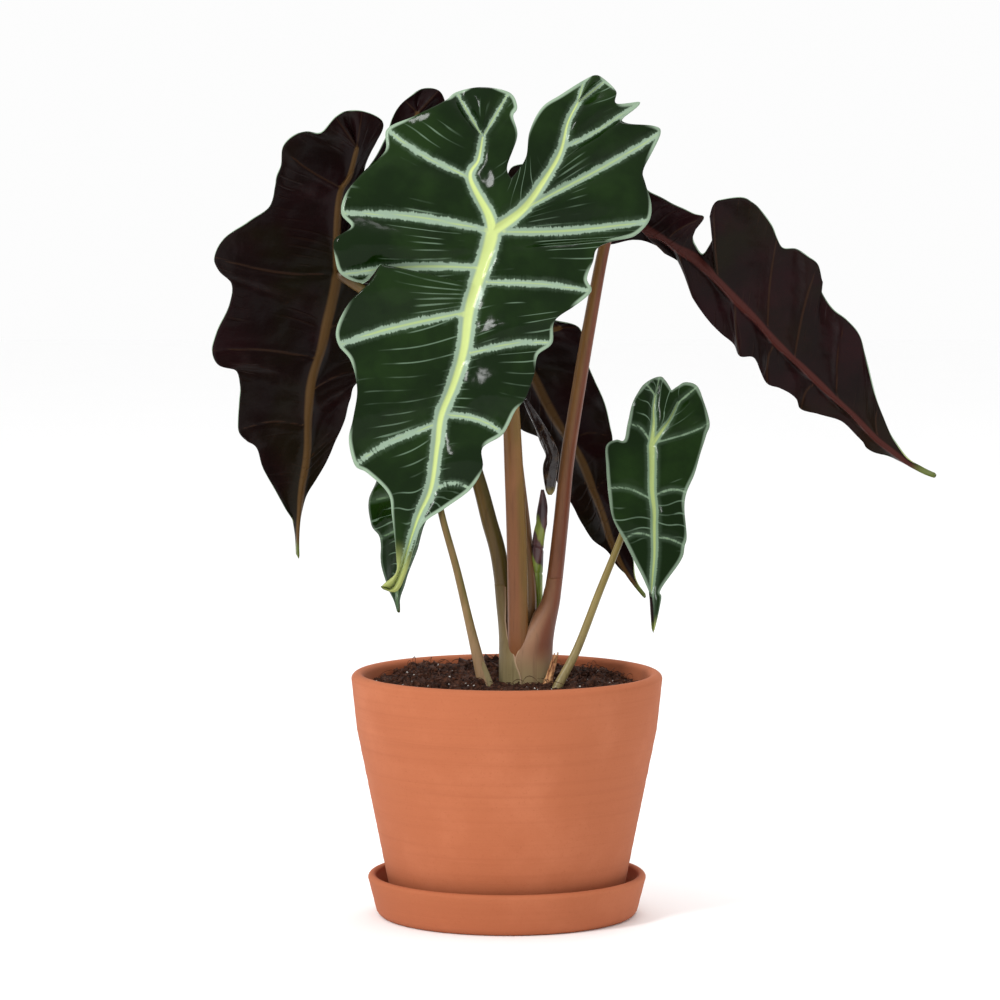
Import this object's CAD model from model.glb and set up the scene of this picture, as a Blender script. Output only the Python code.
import math

import bpy
import numpy as np
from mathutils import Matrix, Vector, kdtree


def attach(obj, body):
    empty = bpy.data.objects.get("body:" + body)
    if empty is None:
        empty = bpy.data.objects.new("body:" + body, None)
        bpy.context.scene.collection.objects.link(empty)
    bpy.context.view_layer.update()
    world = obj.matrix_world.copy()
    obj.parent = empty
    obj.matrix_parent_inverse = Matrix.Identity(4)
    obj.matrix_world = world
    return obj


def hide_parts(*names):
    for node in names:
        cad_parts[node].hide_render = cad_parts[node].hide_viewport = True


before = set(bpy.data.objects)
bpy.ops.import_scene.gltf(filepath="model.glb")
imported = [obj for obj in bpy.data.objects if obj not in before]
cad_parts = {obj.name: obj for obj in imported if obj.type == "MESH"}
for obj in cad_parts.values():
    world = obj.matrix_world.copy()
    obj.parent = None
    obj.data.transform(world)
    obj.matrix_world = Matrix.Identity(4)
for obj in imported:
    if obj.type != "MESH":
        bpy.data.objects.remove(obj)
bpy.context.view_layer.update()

mm = 0.001
rng = np.random.default_rng(11)
print("frame loaded:", len(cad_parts), "nodes")


def makeMesh(name, points, faces, smooth=True):
    # points in millimetres, faces as rows of four corners; a corner of -1 makes a triangle
    faces = np.asarray(faces, np.int64)
    used = faces >= 0
    sizes = used.sum(axis=1)
    mesh = bpy.data.meshes.new(name)
    mesh.vertices.add(len(points))
    mesh.vertices.foreach_set("co", (np.asarray(points, float) * mm).ravel())
    mesh.loops.add(int(sizes.sum()))
    mesh.loops.foreach_set("vertex_index", faces[used].astype(np.int32))
    mesh.polygons.add(len(faces))
    starts = np.concatenate([[0], np.cumsum(sizes)[:-1]]).astype(np.int32)
    mesh.polygons.foreach_set("loop_start", starts)
    mesh.update(calc_edges=True)
    mesh.validate()
    if smooth:
        mesh.shade_smooth()
    return mesh


def addPiece(name, mesh, materials, nodes=()):
    # one visible piece on the one body, standing in for the solids named in nodes
    piece = bpy.data.objects.new(name, mesh)
    bpy.context.scene.collection.objects.link(piece)
    for finish in materials:
        mesh.materials.append(finish)
    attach(piece, "root")
    if nodes:
        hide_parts(*nodes)
    return piece


def setAttribute(mesh, name, values):
    # one number at each point, for a material to read
    layer = mesh.attributes.new(name, "FLOAT", "POINT")
    layer.data.foreach_set("value", np.asarray(values, np.float32).ravel())


def weldGrid(points, faces):
    # points that sit at one place become one point, and faces lose their repeated corners
    _, first, same = np.unique(np.round(points, 3), axis=0, return_index=True, return_inverse=True)
    faces = same.reshape(-1)[faces]
    for corner in range(4):
        repeat = faces[:, corner] == faces[:, corner - 1]
        faces[repeat, corner] = -1
    order = np.argsort(faces < 0, axis=1, kind="stable")
    faces = np.take_along_axis(faces, order, axis=1)
    return first, faces[(faces >= 0).sum(axis=1) > 2]


def gridFaces(rows, columns, wrapped):
    # four corners for each cell of a grid whose columns may close on themselves
    across = np.arange(columns if wrapped else columns - 1)
    j, i = np.meshgrid(np.arange(rows - 1), across, indexing="ij")
    k = (i + 1) % columns
    corners = [j * columns + i, j * columns + k, (j + 1) * columns + k, (j + 1) * columns + i]
    return np.stack(corners, -1).reshape(-1, 4)


def smoothCurve(points, spots):
    # Catmull-Rom: a cubic between each pair of points whose end slopes join their neighbours
    points = np.asarray(points, float)
    last = len(points) - 1
    spots = np.clip(np.asarray(spots, float), 0, last)
    low = np.minimum(spots.astype(int), last - 1)
    t = (spots - low)[:, None]
    a, b = points[np.maximum(low - 1, 0)], points[low]
    c, d = points[low + 1], points[np.minimum(low + 2, last)]
    return b + 0.5 * t * ((c - a) + t * ((2 * a - 5 * b + 4 * c - d) + t * (3 * b - a - 3 * c + d)))


def evenCurve(points, count):
    # count points at equal distances along the smooth curve
    fine = smoothCurve(points, np.linspace(0, len(points) - 1, 900))
    run = np.concatenate([[0], np.cumsum(np.linalg.norm(np.diff(fine, axis=0), axis=1))])
    goal = np.linspace(0, run[-1], count)
    return np.stack([np.interp(goal, run, fine[:, k]) for k in range(fine.shape[1])], axis=1)


def ripple(places, wavelength, seed, octaves=3):
    # smooth noise: a sum of sine waves in random directions, each octave finer and fainter
    source = np.random.default_rng(seed)
    total = np.zeros(len(places))
    for octave in range(octaves):
        for _ in range(5):
            direction = source.normal(size=places.shape[1])
            direction /= np.linalg.norm(direction)
            pace = 2 * np.pi / wavelength * 2 ** octave * source.uniform(0.7, 1.4)
            total += np.sin(places @ direction * pace + source.uniform(0, 6.28)) * 0.5 ** octave / 5
    return total


def smoothStep(low, high, value):
    # 0 at low, 1 at high, and t * t * (3 - 2 * t) between
    t = np.clip((value - low) / (high - low), 0, 1)
    return t * t * (3 - 2 * t)


def newMaterial(name):
    # a material, its node tree and its shader
    made = bpy.data.materials.new(name)
    made.use_nodes = True
    return made, made.node_tree, made.node_tree.nodes["Principled BSDF"]


def connect(tree, source, target):
    # a number or a colour is set on the socket, anything else is linked to it
    if isinstance(source, (int, float)):
        target.default_value = source
    elif isinstance(source, tuple):
        target.default_value = source if len(source) == 4 or target.type == "VECTOR" else (*source, 1.0)
    else:
        tree.links.new(source, target)


def mathNode(tree, operation, a, b=0.0):
    # one sum on two numbers or sockets
    step = tree.nodes.new("ShaderNodeMath")
    step.operation = operation
    connect(tree, a, step.inputs[0])
    connect(tree, b, step.inputs[1])
    return step.outputs[0]


def times(tree, a, b):
    # a * b
    return mathNode(tree, "MULTIPLY", a, b)


def oneMinus(tree, value):
    # 1 - value
    return mathNode(tree, "SUBTRACT", 1.0, value)


def mixNode(tree, share, a, b):
    # colour a where share is 0, colour b where it is 1
    step = tree.nodes.new("ShaderNodeMix")
    step.data_type = "RGBA"
    connect(tree, share, step.inputs[0])
    connect(tree, a, step.inputs[6])
    connect(tree, b, step.inputs[7])
    return step.outputs[2]


def fadeNode(tree, value, low, high):
    # 0 below low, 1 above high, smooth between
    step = tree.nodes.new("ShaderNodeMapRange")
    step.interpolation_type = "SMOOTHSTEP"
    for socket, given in zip(step.inputs, (value, low, high, 0.0, 1.0)):
        connect(tree, given, socket)
    return step.outputs[0]


def stain(tree, colour, pattern, low, high, share, over):
    # colour, with up to this share of another over it where the pattern climbs from low to high
    return mixNode(tree, times(tree, fadeNode(tree, pattern, low, high), share), colour, over)


def noiseNode(tree, vector, scale, detail=3.0, roughness=0.5):
    # smooth noise from 0 to 1, read at vector * scale
    step = tree.nodes.new("ShaderNodeTexNoise")
    connect(tree, vector, step.inputs["Vector"])
    step.inputs["Scale"].default_value = scale
    step.inputs["Detail"].default_value = detail
    step.inputs["Roughness"].default_value = roughness
    return step.outputs[0]


def readAttribute(tree, name):
    # the number that the mesh carries at each point
    step = tree.nodes.new("ShaderNodeAttribute")
    step.attribute_name = name
    return step.outputs["Fac"]


def objectPlace(tree, stretch=(1, 1, 1)):
    # the place on the piece in metres, times stretch
    coordinates = tree.nodes.new("ShaderNodeTexCoord")
    mapping = tree.nodes.new("ShaderNodeMapping")
    mapping.inputs["Scale"].default_value = stretch
    tree.links.new(coordinates.outputs["Object"], mapping.inputs["Vector"])
    return mapping.outputs["Vector"]


def joinNumbers(tree, x, y=0.0, z=0.0):
    # three numbers as one vector
    step = tree.nodes.new("ShaderNodeCombineXYZ")
    for socket, value in zip(step.inputs, (x, y, z)):
        connect(tree, value, socket)
    return step.outputs[0]


def heightOf(tree):
    # height above the floor in millimetres
    split = tree.nodes.new("ShaderNodeSeparateXYZ")
    tree.links.new(objectPlace(tree, (1000, 1000, 1000)), split.inputs[0])
    return split.outputs[2]


def bumpNode(tree, height, strength, distance, normal=None):
    # tilts the normal as if the surface rose by height * distance, over an earlier bump if given
    step = tree.nodes.new("ShaderNodeBump")
    step.inputs["Strength"].default_value = strength
    step.inputs["Distance"].default_value = distance
    tree.links.new(height, step.inputs["Height"])
    if normal is not None:
        tree.links.new(normal, step.inputs["Normal"])
    return step.outputs[0]


def coat(tree, shader, colour, roughness, shine=0.5, normal=None):
    # what every material here sets on its shader
    tree.links.new(colour, shader.inputs["Base Color"])
    shader.inputs["Roughness"].default_value = roughness
    shader.inputs["Specular IOR Level"].default_value = shine
    if normal is not None:
        tree.links.new(normal, shader.inputs["Normal"])


potShape = dict(
    saucerFoot=62.0, saucerRim=69.9, saucerHigh=21.0, saucerFloor=5.0, saucerWall=4.2,
    foot=57.8, band=75.6, rim=78.0, bandHigh=97.0, top=122.5, wall=6.5, floor=8.0, drain=7.0,
    around=200, wobble=0.12,
)
clayLook = dict(
    base=(0.405, 0.119, 0.048), pale=(0.455, 0.143, 0.063), deep=(0.32, 0.084, 0.032),
    ringStretch=(6, 6, 420), fineRingStretch=(30, 30, 1900), dampUpTo=60.0,
    roughness=0.82, shine=0.3, pores=0.00012, rings=0.00018,
)


def clayMaterial(name):
    # wheel rings of two widths, clouds and pores, and a little damp darkening low down
    finish, tree, shader = newMaterial(name)
    place = objectPlace(tree)
    rings = noiseNode(tree, objectPlace(tree, clayLook["ringStretch"]), 1.0, 4.0, 0.62)
    fineRings = noiseNode(tree, objectPlace(tree, clayLook["fineRingStretch"]), 1.0, 3.0, 0.6)
    clouds = noiseNode(tree, place, 22.0, 5.0, 0.6)
    grain = noiseNode(tree, place, 900.0, 3.0, 0.7)
    deep, pale = clayLook["deep"], clayLook["pale"]
    colour = stain(tree, clayLook["base"], clouds, 0.42, 0.72, 1.0, pale)
    colour = stain(tree, colour, rings, 0.45, 0.8, 0.28, deep)
    colour = stain(tree, colour, fineRings, 0.5, 0.8, 0.28, pale)
    colour = stain(tree, colour, grain, 0.55, 0.75, 0.5, deep)
    dry = fadeNode(tree, heightOf(tree), 8.0, clayLook["dampUpTo"])
    colour = mixNode(tree, times(tree, oneMinus(tree, dry), 0.22), colour, deep)
    normal = bumpNode(tree, fineRings, 0.35, clayLook["rings"])
    normal = bumpNode(tree, grain, 0.5, clayLook["pores"], normal)
    coat(tree, shader, colour, clayLook["roughness"], clayLook["shine"], normal)
    return finish


def arcPoints(centreR, centreZ, radius, start, end, count=9):
    # (radius, height) points round a circle: centre + radius * (cos, sin) from start to end degrees
    angles = np.radians(np.linspace(start, end, count))
    return list(zip(centreR + radius * np.cos(angles), centreZ + radius * np.sin(angles)))


def fineProfile(profile, spacing=2.2):
    # extra points on the long straight stretches of a profile
    out = [profile[0]]
    for start, end in zip(profile, profile[1:]):
        parts = max(1, int(np.hypot(*(np.subtract(end, start))) / spacing))
        out += [tuple(np.add(start, np.subtract(end, start) * k / parts)) for k in range(1, parts + 1)]
    return np.array(out)


def turnedMesh(name, profile, closed, seed):
    # a profile of (radius, height) carried round Z; the radius wavers a little, as on thrown clay
    around = potShape["around"]
    angles = 2 * np.pi * np.arange(around) / around
    radius, height = profile[:, 0][:, None], profile[:, 1][:, None]
    circle = np.stack([np.cos(angles), np.sin(angles)], 1)
    sway = ripple(np.column_stack([circle[:, 0] * 40, circle[:, 1] * 40]), 60, seed)
    rings = ripple(profile[:, 1:], 7, seed + 1)
    radius = radius + (sway[None, :] + 0.8 * rings[:, None]) * potShape["wobble"] * (radius > 1)
    points = np.stack([radius * circle[:, 0], radius * circle[:, 1], height + 0 * radius], -1)
    rows = len(profile)
    faces = gridFaces(rows, around, True)
    if closed:
        i = np.arange(around)
        last = (rows - 1) * around
        after = (i + 1) % around
        faces = np.vstack([faces, np.stack([last + i, last + after, after, i], -1)])
    first, faces = weldGrid(points.reshape(-1, 3), faces[:, ::-1])
    return makeMesh(name, points.reshape(-1, 3)[first], faces)


def potRadius(z):
    # the outer wall: one slope up to the band, a gentler one above it
    heights = [potShape["saucerFloor"], potShape["bandHigh"], potShape["top"]]
    return np.interp(z, heights, [potShape["foot"], potShape["band"], potShape["rim"]])


def makePot():
    # each profile runs up the inside, over a round lip and down the outside
    s = potShape
    clay = clayMaterial("terracotta")
    lip = s["saucerWall"] / 2
    cove = 2.5
    profile = [(0.0, s["saucerFloor"]), (s["saucerFoot"] - cove - 1, s["saucerFloor"])]
    profile += arcPoints(s["saucerFoot"] - cove - 1, s["saucerFloor"] + cove, cove, -90, -10, 5)
    profile += arcPoints(s["saucerRim"] - lip, s["saucerHigh"] - lip, lip, 178, -4, 12)
    profile += arcPoints(s["saucerFoot"], 4.0, 4.0, -8, -90, 7) + [(0.0, 0.0)]
    saucer = turnedMesh("terracotta_saucer", fineProfile(profile), False, 3)
    addPiece("terracotta_saucer", saucer, [clay], ["saucer"])

    base = s["saucerFloor"] + 0.3
    lip = s["wall"] / 2
    inside = base + s["floor"]
    profile = [(s["drain"], base), (s["drain"], inside), (potRadius(inside) - s["wall"] - 3, inside)]
    profile += [(potRadius(inside + 5) - s["wall"], inside + 5), (s["band"] - s["wall"], s["bandHigh"])]
    profile += arcPoints(s["rim"] - lip, s["top"] - lip, lip, 180, 2, 14)
    profile += [(s["band"] + 0.35, s["bandHigh"] + 3), (s["band"] - 0.35, s["bandHigh"] - 3)]
    profile += arcPoints(potRadius(base) - 2, base + 2, 2, 0, -90, 6)
    pot = turnedMesh("terracotta_pot", fineProfile(profile), True, 5)
    addPiece("terracotta_pot", pot, [clay], ["pot"])
    print("pot and saucer made")


# A heap is (rise, x, y, spread).
soilLook = dict(
    dark=(0.012, 0.004, 0.002), warm=(0.068, 0.021, 0.010), pale=(0.15, 0.065, 0.032),
    chipDark=(0.025, 0.007, 0.003), chipWarm=(0.11, 0.038, 0.017),
    white=(0.88, 0.86, 0.82), grey=(0.42, 0.36, 0.30),
    top=[(0, 117.0), (30, 116.8), (54, 116.2), (71, 114.5)],
    heaps=[(4.5, -44, 44, 260), (5.0, -8, 52, 300), (2.4, 36, 44, 400), (-1.5, 62, 20, 200)],
    lumps=1.7, crumbs=5200, crumbSize=(0.5, 1.9), chips=260, chipSize=(2.0, 4.2),
    whiteSpecks=260, speckSize=(0.35, 1.0), fibres=240, around=260, rings=74,
)


def earthMaterial(name, dark, warm, scale):
    # dark and warm patches with pale grit, six times as fine, over them
    finish, tree, shader = newMaterial(name)
    place = objectPlace(tree)
    patches = noiseNode(tree, place, scale, 4.0, 0.65)
    grit = noiseNode(tree, place, scale * 6, 4.0, 0.7)
    colour = mixNode(tree, fadeNode(tree, patches, 0.35, 0.7), dark, warm)
    colour = stain(tree, colour, grit, 0.62, 0.75, 0.5, soilLook["pale"])
    coat(tree, shader, colour, 0.72, 0.2, bumpNode(tree, grit, 0.9, 0.0008))
    return finish


def soilHeight(x, y):
    # a low crown, plus heaps of rise * exp(-distance ** 2 / spread), plus lumps of two sizes
    radii, heights = zip(*soilLook["top"])
    top = np.interp(np.hypot(x, y), radii, heights)
    for rise, heapX, heapY, spread in soilLook["heaps"]:
        top = top + rise * np.exp(-((x - heapX) ** 2 + (y - heapY) ** 2) / spread)
    flat = np.column_stack([np.ravel(x), np.ravel(y)])
    lumps = ripple(flat, 13, 21, 3) * 0.8 + ripple(flat, 4.2, 22, 2) * 0.5
    return top + lumps.reshape(np.shape(x)) * soilLook["lumps"]


def makeSoil():
    # a polar grid with a height at each place, then the side and the underside as plain rings
    around = soilLook["around"]
    wall = potShape["wall"] + 0.5
    angles = 2 * np.pi * np.arange(around) / around
    radii = np.linspace(0, potRadius(115.0) - wall, soilLook["rings"])
    x, y = radii[:, None] * np.cos(angles), radii[:, None] * np.sin(angles)
    z = soilHeight(x, y)
    z[0] = z[0].mean()
    floor = potShape["saucerFloor"] + potShape["floor"] + 0.6
    lower = [(potRadius(60.0) - wall, 60.0), (potRadius(floor + 8) - wall, floor + 8)]
    lower += [(potRadius(floor) - wall - 5, floor), (0.0, floor)]
    for radius, height in lower:
        x = np.vstack([x, radius * np.cos(angles)])
        y = np.vstack([y, radius * np.sin(angles)])
        z = np.vstack([z, np.full(around, height)])
    points = np.stack([x, y, z], -1).reshape(-1, 3)
    first, faces = weldGrid(points, gridFaces(len(x), around, True)[:, ::-1])
    earth = earthMaterial("potting_mix", soilLook["dark"], soilLook["warm"], 170.0)
    soil = makeMesh("potting_mix_surface", points[first], faces)
    addPiece("potting_mix_surface", soil, [earth], ["potting_mix", "corm"])


def scatterSpots(count, inner, outer):
    # places spread evenly over a ring of ground
    angle = rng.uniform(0, 2 * np.pi, count)
    r = np.sqrt(rng.uniform(inner ** 2, outer ** 2, count))
    return np.column_stack([r * np.cos(angle), r * np.sin(angle)])


def eightFaces():
    # six corners on the axes, joined by eight triangles
    shape = np.array([(1, 0, 0), (-1, 0, 0), (0, 1, 0), (0, -1, 0), (0, 0, 1), (0, 0, -1)], float)
    faces = [(0, 2, 4), (2, 1, 4), (1, 3, 4), (3, 0, 4), (2, 0, 5), (1, 2, 5), (3, 1, 5), (0, 3, 5)]
    return shape, np.array([(*f, -1) for f in faces])


def scatterMesh(name, count, inner, outer, sizes, stretch, sink):
    # small stones: the eight-faced shape, dented, squeezed, turned at random and set on the soil
    spots = scatterSpots(count, inner, outer)
    shape, faces = eightFaces()
    scale = rng.uniform(*sizes, count) * rng.uniform(0.6, 1.0, count)
    corners = len(shape)
    dents = 1 + rng.uniform(-0.3, 0.3, (count, corners, 1))
    squeeze = 1 + (rng.uniform(0, 1, (count, 1, 3)) - 0.5) * stretch
    turn, _ = np.linalg.qr(rng.normal(size=(count, 3, 3)))
    turn[np.linalg.det(turn) < 0] *= -1
    points = np.einsum("nij,nkj->nki", turn, shape[None] * dents * squeeze * scale[:, None, None])
    height = soilHeight(spots[:, 0], spots[:, 1]) + scale * sink
    points += np.column_stack([spots, height])[:, None, :]
    shift = (np.arange(count) * corners)[:, None, None]
    every = np.where(faces[None] < 0, -1, faces[None] + shift)
    return makeMesh(name, points.reshape(-1, 3), every.reshape(-1, 4), False)


def makeFibres(finish):
    # each fibre is a three-sided strand on a bent line that arches by lift * (1 - 4 * u * u)
    count, steps = soilLook["fibres"], 7
    spots = scatterSpots(count, 15, 68)
    heading = rng.uniform(0, 2 * np.pi, count)
    length = rng.uniform(6, 17, count)
    bend = rng.uniform(-0.9, 0.9, count)
    u = np.linspace(-0.5, 0.5, steps)[None, :]
    angle = heading[:, None] + bend[:, None] * u
    x = spots[:, :1] + length[:, None] * u * np.cos(angle)
    y = spots[:, 1:] + length[:, None] * u * np.sin(angle)
    inside = np.minimum(1, 69.5 / np.maximum(np.hypot(x, y), 1))
    x, y = x * inside, y * inside
    lift = rng.uniform(0.2, 5.0, count)[:, None]
    tilt = rng.uniform(-1, 1, (count, 1)) * 3
    z = soilHeight(x, y).max(axis=1, keepdims=True) + 0.4 + lift * (1 - 4 * u ** 2) + tilt * u
    thick = (rng.uniform(0.14, 0.32, count)[:, None] * (1 - 0.7 * np.abs(2 * u)))[..., None]
    corner = 2 * np.pi * np.arange(3) / 3
    ring = np.stack([x[..., None] - thick * np.sin(angle)[..., None] * np.cos(corner),
                     y[..., None] + thick * np.cos(angle)[..., None] * np.cos(corner),
                     z[..., None] + thick * np.sin(corner)], -1)
    last = 3 * steps
    ends = [(2, 1, 0, -1), (last - 3, last - 2, last - 1, -1)]
    every = np.vstack([gridFaces(steps, 3, True), ends])
    shift = (np.arange(count) * last)[:, None, None]
    every = np.where(every[None] < 0, -1, every[None] + shift).reshape(-1, 4)
    fibre = makeMesh("root_fibres", ring.reshape(-1, 3), every, False)
    addPiece("root_fibres", fibre, [finish])


def makeGround():
    # the soil, with crumbs, bark, white specks and fibres on it
    makeSoil()
    finish = earthMaterial("bark_and_peat", soilLook["chipDark"], soilLook["chipWarm"], 420.0)
    crumbs = scatterMesh("peat_crumbs", soilLook["crumbs"], 3, 70, soilLook["crumbSize"], 0.9, 0.15)
    addPiece("peat_crumbs", crumbs, [finish])
    bark = scatterMesh("bark_chips", soilLook["chips"], 18, 68, soilLook["chipSize"], 1.5, 0.1)
    addPiece("bark_chips", bark, [finish], [f"bark_chip_{n}" for n in range(1, 7)])

    white, tree, shader = newMaterial("perlite")
    speckle = noiseNode(tree, objectPlace(tree), 1400.0, 3.0)
    coat(tree, shader, mixNode(tree, speckle, soilLook["white"], soilLook["grey"]), 0.9)
    specks = soilLook["whiteSpecks"]
    perlite = scatterMesh("perlite_grains", specks, 12, 69, soilLook["speckSize"], 0.5, 0.5)
    addPiece("perlite_grains", perlite, [white], [f"perlite_{n}" for n in range(1, 7)])
    makeFibres(finish)
    print("soil made")


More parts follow.
